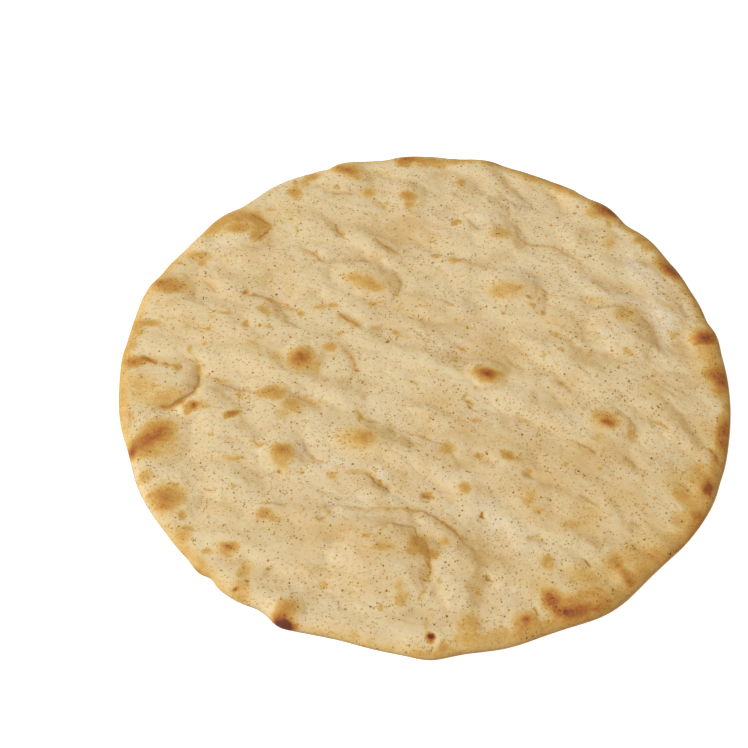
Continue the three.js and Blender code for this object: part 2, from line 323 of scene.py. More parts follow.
def sixSidedDisc(cutsInTurn):
    disc = bmesh.new()
    bmesh.ops.create_circle(disc, cap_ends=True, cap_tris=True, segments=6, radius=1)
    bmesh.ops.rotate(disc, verts=disc.verts[:], cent=(0, 0, 0), matrix=Matrix.Rotation(-math.pi / 2, 3, "Z"))
    for cuts in cutsInTurn:
        bmesh.ops.subdivide_edges(disc, edges=disc.edges[:], cuts=cuts, use_grid_fill=True)
    return disc


rimStep = 0.1  # in the flat plan, each rim row is this much further out than the last


def flatPlan():
    # Upper crust, rim rows round it and the underside below it, all six-sided and flat for now
    rimRows = bread["rimRowsAbove"] + bread["rimRowsBelow"]
    plan = sixSidedDisc(bread["topCuts"])
    edge = [e for e in plan.edges if e.is_boundary]
    for row in range(1, rimRows + 1):
        made = bmesh.ops.extrude_edge_only(plan, edges=edge)["geom"]
        outer = [part for part in made if isinstance(part, bmesh.types.BMVert)]
        growth = (1 + row * rimStep) / (1 + (row - 1) * rimStep)
        bmesh.ops.scale(plan, verts=outer, vec=(growth, growth, 1))
        edge = [part for part in made if isinstance(part, bmesh.types.BMEdge) and part.is_boundary]
    underside = sixSidedDisc(bread["undersideCuts"])
    bmesh.ops.translate(underside, verts=underside.verts[:], vec=(0, 0, -1))
    spare = bpy.data.meshes.new("spare")
    underside.to_mesh(spare)
    underside.free()
    plan.from_mesh(spare)
    bpy.data.meshes.remove(spare)
    bmesh.ops.bridge_loops(plan, edges=[e for e in plan.edges if e.is_boundary])
    bmesh.ops.triangulate(plan, faces=[f for f in plan.faces if len(f.verts) > 3])
    bmesh.ops.recalc_face_normals(plan, faces=plan.faces[:])
    return plan


def ringAndAngle(u, v):
    # The six-sided plan's ring, 1 at the edge of the upper crust, and the direction on a true circle
    around = np.arctan2(v, u) % (2 * math.pi)
    sector = np.floor(around / math.radians(60) + 1e-9)
    within = around - sector * math.radians(60)
    radius = np.hypot(u, v)
    second = radius * np.sin(within) / math.sin(math.radians(60))
    ring = radius * np.cos(within) + second / 2
    share = np.where(ring > 1e-9, second / np.maximum(ring, 1e-9), 0)
    return ring, (sector + share) * math.radians(60)


def rimPlace(row, angle, top):
    outside = outlineRadius(angle)
    crest = bread["rimCrestShare"] * top
    above = row <= bread["rimRowsAbove"]
    rowsBelow = bread["rimRowsBelow"] + 1  # the last of them is the edge of the underside
    turn = np.where(above, row / bread["rimRowsAbove"], (row - bread["rimRowsAbove"]) / rowsBelow)
    turn = turn * math.pi / 2
    distance = np.where(
        above,
        outside - bread["rimWidth"] * (1 - np.sin(turn)),
        outside - bread["rimTuck"] * (1 - np.cos(turn)),
    )
    height = np.where(above, crest + (top - crest) * np.cos(turn), crest * (1 - np.sin(turn)))
    return distance, height


underneath = {
    "hollows": 26,  # shallow hollows where steam lifted the dough off the stone
    "hollowSizes": (7, 18),
    "hollowReach": 70,
    "hollowDepth": 0.5,
    "marks": 34,
    "markSizes": (3, 11),
    "markReach": 84,
    "seed": 5,
}


def scatterOvals(count, seed, reach, smallest, largest):
    draw = random.Random(seed)
    ovals = []
    for each in range(count):
        distance, towards = reach * math.sqrt(draw.random()), draw.uniform(0, 2 * math.pi)
        long = draw.uniform(smallest, largest)
        ovals.append((distance * math.cos(towards), distance * math.sin(towards), long,
                      long * draw.uniform(0.5, 0.9), draw.uniform(-90, 90), draw.uniform(0.4, 1)))
    return ovals


def undersideHeight(x, y, fromEdge):
    height = np.zeros(x.shape)
    for middleX, middleY, halfLong, halfWide, turn, share in scatterOvals(
            underneath["hollows"], underneath["seed"], underneath["hollowReach"], *underneath["hollowSizes"]):
        reach = ovalReach(x, y, middleX, middleY, halfLong, halfWide, turn)
        height += share * underneath["hollowDepth"] * np.clip(1 - reach ** 2, 0, 1) ** 1.5
    return height * smoothBetween(0, 8, fromEdge)


def setAttribute(mesh, name, values):
    attribute = mesh.attributes.new(name, "FLOAT", "POINT")
    attribute.data.foreach_set("value", np.asarray(values, np.float32))


hollowSize = 2.5  # mm, the size of hollow that counts
shadedSlopeFacing = 0.98, 0.2, 0  # slopes that face this way, away from the key light, get painted shade


def hollowness(mesh, x, y, z):
    # How far each place lies below the crust round it, in mm
    ends = np.zeros(2 * len(mesh.edges), np.int32)
    mesh.edges.foreach_get("vertices", ends)
    first, second = ends.reshape(-1, 2).T
    neighbours = np.bincount(ends, minlength=len(z))
    spacing = np.median(np.hypot(x[first] - x[second], y[first] - y[second]))
    level = z.copy()
    for each in range(round(2 * (hollowSize / spacing) ** 2)):
        around = np.bincount(first, level[second], len(z)) + np.bincount(second, level[first], len(z))
        level = 0.5 * level + 0.5 * around / neighbours
    return level - z


def makeBread():
    plan = flatPlan()
    mesh = bpy.data.meshes.new("pita")
    plan.to_mesh(mesh)
    plan.free()
    places = np.zeros(len(mesh.vertices) * 3)
    mesh.vertices.foreach_get("co", places)
    u, v, level = places.reshape(-1, 3).T
    ring, angle = ringAndAngle(u, v)
    isUnder = level < -0.5
    row = np.where(isUnder, 0, np.round(np.maximum(ring - 1, 0) / rimStep))
    outside = outlineRadius(angle)
    shoulder = outside - bread["rimWidth"]
    distance = np.minimum(ring, 1) * np.where(isUnder, outside - bread["rimTuck"], shoulder)
    inner = np.minimum(distance, shoulder)
    top = crustHeight(inner * np.cos(angle), inner * np.sin(angle))
    rimDistance, rimHeight = rimPlace(row, angle, top)
    distance = np.where(row > 0, rimDistance, distance)
    x, y = distance * np.cos(angle), distance * np.sin(angle)
    below = undersideHeight(x, y, outside - bread["rimTuck"] - distance)
    z = np.where(isUnder, below, np.where(row > 0, rimHeight, top))
    paintBread(mesh, x, y, z, angle, outside - distance, isUnder)
    # how sunk each place is, for the painted shade in hollows
    hollow = hollowness(mesh, x, y, z)
    setAttribute(mesh, "hollow", np.where(isUnder | (row > 0), 0, hollow))
    fitToFrame(mesh, x, y, z)
    normals = np.zeros(places.shape)
    mesh.vertex_normals.foreach_get("vector", normals)
    # how far each slope is turned away from the key light, for the painted shade in the finish
    slope = normals.reshape(-1, 3) @ shadedSlopeFacing
    setAttribute(mesh, "lee", np.where(isUnder | (row > 0), 0, slope))
    mesh.shade_smooth()
    pita = bpy.data.objects.new("pita", mesh)
    bpy.context.scene.collection.objects.link(pita)
    print("bread:", len(mesh.vertices), "vertices,", len(mesh.polygons), "faces")
    return pita


planShift = [0.0, 0.0]  # how far the outline's circle sits from the origin, filled in by fitToFrame


def fitToFrame(mesh, x, y, z):
    # The outline is centred and sized on the frame's solid, which it has to stay inside
    fitted = []
    for axis, values in enumerate((x, y, z)):
        low, high = breadLow[axis], breadHigh[axis]
        share = (high - low) / (np.ptp(values) * mm)
        if axis == 2:
            share = min(share, 1)
            fitted.append(low + (values - values.min()) * mm * share)
        else:
            middle = (values.max() + values.min()) / 2
            fitted.append((low + high) / 2 + (values - middle) * mm * share)
            planShift[axis] = (low + high) / 2 - middle * mm * share
    mesh.vertices.foreach_set("co", np.stack(fitted, axis=1).ravel())
    mesh.update()


# Toasted marks on the upper crust, and a few of painted shade, where they show against the plain crust from
# the camera's side: x, y, half length, half width, turn, strength up to 1 for burnt
toastMarks = [
    # far side, left of the middle
    (-3.5, 86.4, 5, 1.5, 0, 0.67), (-5.5, 84.8, 3, 1.8, -15, 0.49), (-24, 82, 4.8, 2.3, -12, 0.6),
    (-22, 80.3, 3.4, 2, -35, 0.44), (-20.3, 77.8, 1.2, 1.6, 0, 0.33), (-34.5, 79, 3.2, 1.6, 25, 0.4),
    (-37, 76, 2, 2.4, 40, 0.28), (-40, 76.2, 0.9, 0.9, 0, 0.44), (-40, 72.5, 2.4, 3.4, 0, 0.4),
    (-16.5, 72, 2.7, 2.3, 40, 0.35), (-4, 70.4, 2.9, 2, -15, 0.48), (-3.5, 67, 1.7, 2.5, 0, 0.35),
    (-27, 74, 1.5, 1.2, 0, 0.25), (-63.5, 58.8, 7, 3, 45, 0.39), (-57.5, 61.5, 5, 3.2, 10, 0.4),
    (-52, 61.3, 3.8, 2.8, -45, 0.47), (-50, 58, 3, 3, -45, 0.46), (-51.5, 54.3, 2.2, 3.2, -20, 0.44),
    (-57, 57.2, 6, 2.4, 5, 0.42), (-68, 55.5, 3, 1.3, 45, 0.35), (-47.5, 64.8, 1.8, 0.9, -15, 0.28),
    (-39, 56, 0.8, 2.6, 5, 0.25), (-40.7, 60.7, 0.9, 0.7, 0, 0.3), (-69.3, 45.8, 4, 2.1, -5, 0.42),
    (-68.3, 43, 1.4, 2, 0, 0.33), (-77.5, 42.4, 5, 1.3, 15, 0.21), (-74.8, 42.8, 0.6, 0.5, 0, 0.62),
    (-78.5, 34.4, 5.6, 3.2, 0, 0.51), (-79.5, 35.2, 3, 1.6, 20, 0.58), (-75, 33.2, 4.2, 2, 0, 0.44),
    (-77.5, 32.4, 4.5, 1.6, 0, 0.42), (-53.9, 31.1, 1, 0.8, 0, 0.72), (-51.2, 30.3, 0.6, 0.5, 0, 0.69),
    (-48.3, 24.4, 2.6, 1.3, -25, 0.35), (-46.7, 22.6, 0.8, 1.2, 0, 0.32),
    (-60, 23.2, 3.6, 0.9, -10, 0.26), (-63.3, 21.7, 0.9, 0.9, 0, 0.28), (-53.5, 19, 1, 1.7, -20, 0.37),
    (-64.3, 16.7, 1.2, 1, 0, 0.33), (-46.3, 18, 1.8, 1.2, -30, 0.3), (-69.5, 9.5, 0.8, 1.9, 0, 0.25),
    (-65.3, 11.8, 0.9, 1, 0, 0.26), (-84, 19.2, 4.8, 1.5, 3, 0.42), (-86.8, 17.6, 2, 2.6, 0, 0.39),
    (-86, 15.5, 2.6, 2, 20, 0.28), (-87.6, 10.8, 1.7, 2.8, -30, 0.33), (-86.2, 5, 3.4, 2.2, 0, 0.6),
    (-82.5, 5.5, 3.2, 1.1, -8, 0.68), (-73, 2.7, 2, 1.5, -40, 0.42), (-76.5, 3.8, 2, 0.8, -20, 0.35),
    (-17.5, 35.2, 6.6, 3.1, -25, 0.36), (-20.5, 37, 2.6, 1.8, -20, 0.34),
    (-14.3, 33.8, 3, 2.1, -20, 0.38), (-32, 44, 0.6, 0.5, 0, 0.53), (-10.8, 49.3, 1.4, 0.9, -40, 0.44),
    (-37, 23.2, 1, 1.1, 0, 0.4), (-27, 26.3, 1.8, 1.2, 0, 0.35), (-31.5, 25.5, 3, 1, 10, 0.25),
    (-24.6, 22.4, 1.5, 0.9, -40, 0.35), (-15, 26.6, 1.5, 0.9, 10, 0.35), (-14, 17.4, 2.2, 1.1, -10, 0.29),
    (-8.3, 15.8, 1.6, 1, -50, 0.39), (-28, 10.4, 2.4, 1.7, 0, 0.37), (-25, 15, 1.5, 1.3, 0, 0.25),
    (-36.3, 6.6, 3.9, 3.9, 0, 0.6), (-36.1, 7, 2.4, 3.2, 0, 0.57), (-36, 5, 5, 4.4, 0, 0.34),
    (-11, 12.6, 0.5, 0.5, 0, 1.1), (-39.8, 14.3, 0.45, 0.45, 0, 1), (-31.5, 3.5, 1.3, 3, 10, 0.25),
    (-20, 1.8, 0.8, 0.7, 0, 0.53), (-7, 25, 2, 1.2, 0, 0.21), (-44, 7, 3, 2.5, 0, 0.18),
    (-49, 18.7, 0.45, 0.45, 0, 0.79), (-36.8, 7.6, 1.5, 1.5, 0, 0.62), (-41, 64, 9, 5, -20, 0.12),
    (-50, 11, 8, 5, -20, 0.12),
    # far side, right of the middle
    (2.5, 85.8, 5.5, 1.4, -3, 0.49), (4, 84, 7, 1.4, 0, 0.32), (13, 85.4, 6, 1.2, 0, 0.37),
    (22.5, 85.3, 2.8, 1.8, -20, 0.46), (36, 78.4, 4.6, 1.6, -22, 0.35), (44.5, 74.2, 5.4, 2.4, -32, 0.39),
    (48.5, 71.7, 3.4, 1.4, -35, 0.42), (55, 63.6, 3.6, 2.8, 0, 0.37), (58.8, 64.4, 5.6, 2.6, -42, 0.77),
    (60.4, 63.2, 2.4, 1.3, -45, 0.72), (59, 58.8, 1.3, 2, 0, 0.33), (25, 55, 4, 2.6, -10, 0.29),
    (23, 53.8, 1.8, 1.1, 0, 0.33), (58.5, 51, 2.3, 3.4, 0, 0.25), (66.5, 55.8, 2.8, 1.5, -35, 0.46),
    (68.5, 52, 2.6, 1.8, -20, 0.51), (71, 49.3, 2.2, 2, -40, 0.46), (48.6, 62.8, 0.45, 0.45, 0, 0.79),
    (41, 57.8, 0.45, 0.45, 0, 0.75), (13, 76.3, 2.2, 1.9, -30, 0.35), (11.3, 59.3, 1.9, 1.2, 0, 0.37),
    (3, 52, 2, 1.6, 0, 0.19), (25.5, 32, 6.4, 4.2, 5, 0.25), (29, 33, 2.2, 1.2, 10, 0.34),
    (23, 31, 3.4, 2.4, 0, 0.24), (32, 29.5, 1, 0.6, -30, 0.55), (33, 26.6, 1.3, 1.1, 0, 0.28),
    (10, 43.8, 3.2, 1.1, -8, 0.31), (4, 45.6, 1.8, 1, 0, 0.33), (36.5, 23.3, 1, 0.9, 0, 0.48),
    (39, 15.3, 1.8, 1.1, -30, 0.33), (49, 7, 1.7, 1.7, 0, 0.26), (40.5, 9.3, 1.1, 1.1, 0, 0.32),
    (35.5, 7.5, 0.9, 1.3, 0, 0.25), (9, 5.5, 0.7, 1.1, 0, 0.32), (10, 20, 0.9, 1.6, 0, 0.22),
    (14.5, 17.5, 1.8, 1, -30, 0.22), (5.5, 8, 2.6, 1.6, 0, 0.1), (18.4, 0.7, 4.2, 2.1, -8, 0.79),
    (74.2, 42.6, 3.4, 2.1, -50, 0.4), (79.5, 32, 1.6, 1.6, 0, 0.26), (60.5, 22.4, 3.6, 2.8, -15, 0.33),
    (62.5, 23.6, 0.6, 0.5, 0, 0.75), (84, 14, 4.2, 3.2, -10, 0.76), (84.6, 13.5, 3.8, 3, 0, 0.74),
    (82.3, 12, 1.7, 1.3, 0, 0.63), (84, 9, 3.2, 3.2, 0, 0.3), (84.7, 5.3, 2.8, 2.8, 0, 0.34),
    (75, 14.5, 2.2, 2, 0, 0.24), (60.5, 8.8, 1.7, 1.4, 0, 0.3), (61.3, 7.6, 0.45, 0.4, 0, 1),
    (84.4, 0.5, 2.6, 3.6, 0, 0.45), (77, 39.8, 5.2, 2.5, -57, 0.83), (86, 6, 2.8, 9, -4, 0.36),
    # the second and third here are painted shade in the valley beside the dome's arc
    (56, 61, 3, 2, -40, 0.14), (35, 33, 4, 2.5, -30, 0.12), (52, 28, 4.6, 1.8, -10, 0.18),
    (80, 2, 4, 10, 0, 0.12), (40, 20, 9, 3, -28, 0.12), (84.5, 24, 2.5, 6, 0, 0.28),
    # near side, left of the middle
    (-76, -8.2, 7.6, 4.4, 20, 0.26), (-83.5, -4, 5.5, 6.5, 0, 0.25), (-79, -3.8, 1.8, 0.5, 5, 0.37),
    (-67.5, -10.8, 3.2, 1.8, 12, 0.49), (-69, -13, 1.5, 1.1, 20, 0.4), (-63.5, -11, 1.7, 1.1, 0, 0.3),
    (-67, -10.7, 1.6, 1.1, 10, 0.74), (-55.7, -13.8, 2.4, 1.2, 12, 0.7),
    (-57.2, -14.8, 1.3, 0.7, 20, 0.39), (-76.8, -20.6, 5.2, 4.6, 18, 0.68),
    (-80.3, -23.6, 4.6, 3.5, 45, 0.7), (-84.2, -27, 1.9, 3.6, -10, 0.82), (-82, -24, 0.6, 0.6, 0, 0.79),
    (-76, -26.5, 6, 3.4, 10, 0.24), (-80, -28, 3.2, 2, 30, 0.3), (-79.5, -35.5, 2.2, 2.6, -20, 0.33),
    (-73.3, -42.8, 4.8, 5, 0, 0.44), (-73.5, -42, 4, 3.8, 0, 0.5), (-73.3, -45.5, 1.9, 1.6, 0, 0.56),
    (-77.8, -42.3, 1.3, 0.9, 20, 0.55), (-71, -38.3, 1.7, 1, -20, 0.46),
    (-68.3, -48.3, 1.4, 1.5, 0, 0.42), (-41, -26.3, 3.2, 2.3, 0, 0.52), (-40.6, -28.3, 3.8, 4, 0, 0.36),
    (-40.3, -31.8, 2.2, 3, 0, 0.2), (-45, -5.8, 4.2, 2.1, 18, 0.42), (-43, -6.6, 2.4, 2.4, -40, 0.4),
    (-38.5, -10.5, 4, 3, -30, 0.32), (-41, -14, 3, 2.4, 0, 0.22), (-54, -7, 1.3, 1.7, 0, 0.26),
    (-53.5, -29.2, 1.1, 0.8, 0, 0.28), (-55.5, -29.2, 4.4, 1.4, 5, 0.22), (-54, -38.5, 0.9, 0.9, 0, 0.32),
    (-45.3, -47.6, 2.1, 1.8, -20, 0.46), (-42.5, -49, 2.7, 1.5, -30, 0.3),
    (-18, -21.8, 3.4, 2.6, -20, 0.45), (-17.5, -23.5, 2.6, 3, 10, 0.3), (-19, -22, 8, 5.5, 0, 0.22),
    (-19.3, -15.2, 1, 1.6, 10, 0.35), (-26.5, -35, 1.8, 1.3, -40, 0.28), (-19.5, -34.3, 3.6, 1.4, 0, 0.2),
    (-67.8, -54.8, 2.6, 2.8, -30, 0.4), (-66, -52.5, 1.8, 1.8, 0, 0.3), (-54.8, -58.5, 3, 1.9, 0, 0.48),
    (-55.3, -58.3, 1.5, 0.9, 0, 0.7), (-55, -60.5, 2.8, 1.3, 0, 0.3), (-60.3, -60, 1.8, 1.1, 0, 0.31),
    (-63.3, -65.8, 1.8, 1, -45, 0.48), (-62, -63.5, 2.2, 1.8, -40, 0.28), (-50, -66.5, 2.2, 2.8, 0, 0.3),
    (-50.5, -71, 2.6, 2.8, 0, 0.33), (-51.5, -74, 3.2, 1.8, -30, 0.37), (-49.3, -69.5, 0.45, 0.45, 0, 1),
    (-52.8, -72, 0.45, 0.45, 0, 1), (-38.3, -78, 3, 3.2, -10, 0.5), (-39.6, -80.8, 2.7, 2.8, 0, 0.86),
    (-38.8, -83, 3.2, 2.2, -15, 1.3), (-36.5, -76.5, 2, 1.8, 0, 0.37), (-17, -54.3, 1.4, 0.7, 30, 0.37),
    (-2.5, -57.5, 3.8, 3, -50, 0.48), (-4.5, -59.5, 1.8, 1.4, 0, 0.35), (-12.5, -57.6, 4.2, 2, 10, 0.28),
    (-8.3, -70, 1.8, 3, 0, 0.22), (-7.5, -74, 2.2, 3.4, -10, 0.27), (-13.3, -77.3, 1, 1, 0, 0.32),
    (-28.5, -70.5, 1.4, 1.2, 0, 0.37), (-0.8, -82.5, 0.9, 1.5, 0, 0.28), (-2.5, -91.3, 4.5, 1.1, -5, 0.3),
    (-20, -86, 1.5, 1.5, 0, 0.26), (-76, -20, 3, 2.4, 0, 0.5), (-70, -42, 3, 3.6, 0, 0.34),
    # near side, right of the middle
    (18.8, -1, 3.6, 2, -6, 0.52), (86.8, -1, 3.4, 5.4, 0, 0.72), (0, -41.5, 1.6, 1.3, -40, 0.44),
    (0, -60, 2.6, 2.2, -30, 0.52), (2, -61, 1, 1, 0, 0.48), (11.8, -7.6, 0.8, 1.8, -15, 0.33),
    (13, -10, 1.3, 0.8, -40, 0.51), (13, -11.8, 0.4, 0.4, 0, 0.79), (14.5, -16.3, 1.4, 0.9, 10, 0.33),
    (6, -26, 2.8, 2.4, -20, 0.33), (15, -28.3, 1.5, 0.8, -10, 0.46), (23.5, -28.3, 2.6, 1.7, -30, 0.46),
    (26.5, -29.7, 2.2, 1.1, -20, 0.3), (29, -33.5, 1.1, 1.3, 0, 0.33), (10.5, -39.3, 2, 2.2, 0, 0.38),
    (28.7, -42.5, 2.1, 3.2, -5, 0.3), (31, -46.5, 1.8, 1.8, 0, 0.25), (39.7, -31, 0.9, 1.3, 0, 0.35),
    (49, -32.5, 1, 0.9, 0, 0.37), (45, -48, 6, 5, 0, 0.16), (40, -3, 1.4, 1, 0, 0.33),
    (52.3, -16.9, 2.8, 1.9, -15, 0.79), (51.8, -16, 4.6, 3.8, 0, 0.36), (49.5, -22, 1.7, 2, 0, 0.24),
    (58.8, -21, 1.5, 3.1, 5, 0.28), (59.2, -18, 0.8, 1.1, 0, 0.39), (87.4, -3.5, 2.4, 5.6, -5, 0.66),
    (86.2, -20, 2.4, 5.6, -8, 0.74), (85.2, -25, 2.1, 3.6, -12, 0.66), (66.8, -0.3, 0.5, 0.5, 0, 0.79),
    (82.8, -30, 1.6, 3.2, -25, 0.55), (79.5, -39.5, 2.4, 3.4, -8, 0.9), (79, -36.5, 1.7, 1.7, 0, 0.5),
    (77, -35, 3.4, 5, -10, 0.34), (71.5, -41.5, 3.2, 2.6, -45, 0.36), (75.6, -48.4, 2.3, 3.4, -30, 0.62),
    (4.5, -56.5, 1.8, 1.6, -40, 0.29), (2.8, -69, 0.7, 1.1, 0, 0.26), (0.5, -86, 1.1, 1.2, 0, 1.1),
    (10.5, -83, 3.6, 4.2, 0, 0.33), (11, -86.5, 5, 2.4, 0, 0.32), (3.3, -89.6, 1.5, 1.8, 0, 0.46),
    (2, -91.6, 2.2, 1.1, 0, 0.32), (12.8, -72.5, 0.9, 2.2, 0, 0.3), (40.5, -50.8, 4.4, 2, 5, 0.26),
    (32.5, -62.5, 1.5, 1.4, 0, 0.44), (32.5, -63.5, 2.2, 2.2, 0, 0.3), (51, -63, 3, 3.4, -20, 0.46),
    (52, -64.3, 1.7, 1.8, 0, 0.56), (55, -69.3, 2, 2.3, -10, 0.68), (53.5, -67, 2.2, 2.2, 0, 0.52),
    (60.3, -65.8, 0.4, 0.4, 0, 1), (56.8, -59, 0.5, 0.4, 0, 0.75), (58, -67, 4.4, 3.2, 45, 0.45),
    (62, -62, 3.6, 3.4, 45, 0.42), (33, -74.8, 3, 3.7, 10, 0.79), (34, -77.5, 2.5, 2.2, -30, 0.7),
    (37.8, -78.9, 4.8, 2.4, 0, 0.9), (41.5, -77.8, 4.2, 2.4, 10, 0.74), (45.5, -77.6, 3.8, 2, 10, 0.64),
    (47, -76, 4.4, 2.8, 30, 0.48), (50.5, -73.5, 4.6, 3, 40, 0.3), (44, -73, 5.4, 2.4, 15, 0.45),
    (38, -76, 5, 3, 0, 0.5), (36, -81.8, 5.4, 1.8, 10, 0.35), (26.2, -81, 1.8, 1.6, 0, 0.78),
    (26, -82, 3.8, 3.6, 0, 0.5), (25, -85.2, 4.4, 2.6, 10, 0.32), (38.8, -69.3, 0.9, 0.9, 0, 0.37),
    (19, -86, 6, 3, 6, 0.26), (66, -57, 4, 3.4, 45, 0.22), (71, -50, 4, 3.4, 45, 0.29),
    (54, -72, 6, 3.4, 35, 0.3), (62, -56, 11, 7, 45, 0.12), (79, -22, 4, 12, -15, 0.14),
    (71, -37, 6, 8, 0, 0.17), (55, -42, 10, 6, -20, 0.14), (83, -21, 3.2, 7, -10, 0.18),
    (5, -9, 9, 5, -20, 0.12), (38, -66, 3.4, 2.4, -20, 0.15), (56, -63, 9, 6, 40, 0.23),
    (44, -68, 8, 4.5, 0, 0.24), (30, -70, 6, 5, 0, 0.14), (45, -52, 7, 4, -20, 0.13),
    (81.8, -34.5, 2.2, 4, -15, 0.45), (40, -80.5, 6, 2.4, 25, 0.46), (31.5, -83, 5, 2.6, 14, 0.34),
    (74.5, -45, 5.5, 3, -52, 0.36), (77.5, -42, 3.4, 4.4, -20, 0.28), (67, -5, 6, 5, 0, 0.13),
]

